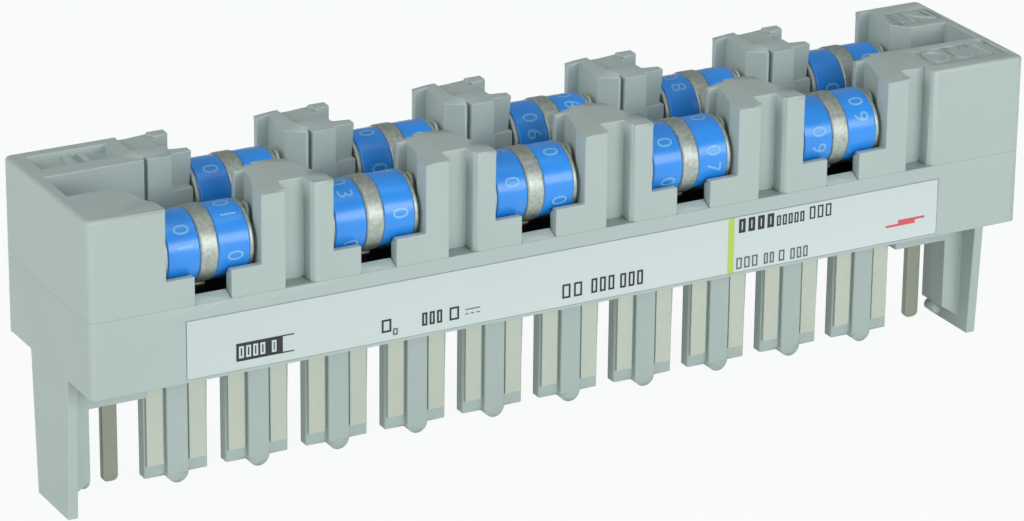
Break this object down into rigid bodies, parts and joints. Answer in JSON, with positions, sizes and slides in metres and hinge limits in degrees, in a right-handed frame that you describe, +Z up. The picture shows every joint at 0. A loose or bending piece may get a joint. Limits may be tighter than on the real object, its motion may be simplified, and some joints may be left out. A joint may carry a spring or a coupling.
{
  "type": "surge arrester",
  "caption": "Plug-in surge arrester magazine: gas discharge tubes in two staggered rows of open bays, over a comb of contact tongues with two latch legs.",
  "frame": {"origin": "centre of the seating plane, the underside of the plinth's end pads, where the comb plugs in", "axes": "+X along the magazine, +Y from the labelled front to the back, +Z up, out of the strip it plugs into"},
  "size_m": [0.1114, 0.0216, 0.0352],
  "materials": {
    "casing": "satin light grey moulding",
    "label": "smooth pale grey strip",
    "blue_ceramic": "glossy blue lacquer",
    "electrode_metal": "matt tinned metal",
    "contact_metal": "silver-plated strip",
    "earth_metal": "dull tinned strip"
  },
  "bodies": {
    "root": {"base_housing": "casing", "earth_pin_left": "earth_metal", "earth_pin_right": "earth_metal", "earth_rail": "earth_metal", "label_strip": "label", "line_contact_01_a": "contact_metal", "line_contact_01_b": "contact_metal", "line_contact_02_a": "contact_metal", "line_contact_02_b": "contact_metal", "line_contact_03_a": "contact_metal", "line_contact_03_b": "contact_metal", "line_contact_04_a": "contact_metal", "line_contact_04_b": "contact_metal", "line_contact_05_a": "contact_metal", "line_contact_05_b": "contact_metal", "line_contact_06_a": "contact_metal", "line_contact_06_b": "contact_metal", "line_contact_07_a": "contact_metal", "line_contact_07_b": "contact_metal", "line_contact_08_a": "contact_metal", "line_contact_08_b": "contact_metal", "line_contact_09_a": "contact_metal", "line_contact_09_b": "contact_metal", "line_contact_10_a": "contact_metal", "line_contact_10_b": "contact_metal", "magazine_housing": "casing", "tube_01_ceramics": "blue_ceramic", "tube_01_end_caps": "electrode_metal", "tube_01_ring": "electrode_metal", "tube_02_ceramics": "blue_ceramic", "tube_02_end_caps": "electrode_metal", "tube_02_ring": "electrode_metal", "tube_03_ceramics": "blue_ceramic", "tube_03_end_caps": "electrode_metal", "tube_03_ring": "electrode_metal", "tube_04_ceramics": "blue_ceramic", "tube_04_end_caps": "electrode_metal", "tube_04_ring": "electrode_metal", "tube_05_ceramics": "blue_ceramic", "tube_05_end_caps": "electrode_metal", "tube_05_ring": "electrode_metal", "tube_06_ceramics": "blue_ceramic", "tube_06_end_caps": "electrode_metal", "tube_06_ring": "electrode_metal", "tube_07_ceramics": "blue_ceramic", "tube_07_end_caps": "electrode_metal", "tube_07_ring": "electrode_metal", "tube_08_ceramics": "blue_ceramic", "tube_08_end_caps": "electrode_metal", "tube_08_ring": "electrode_metal", "tube_09_ceramics": "blue_ceramic", "tube_09_end_caps": "electrode_metal", "tube_09_ring": "electrode_metal", "tube_10_ceramics": "blue_ceramic", "tube_10_end_caps": "electrode_metal", "tube_10_ring": "electrode_metal"}
  },
  "joints": []
}
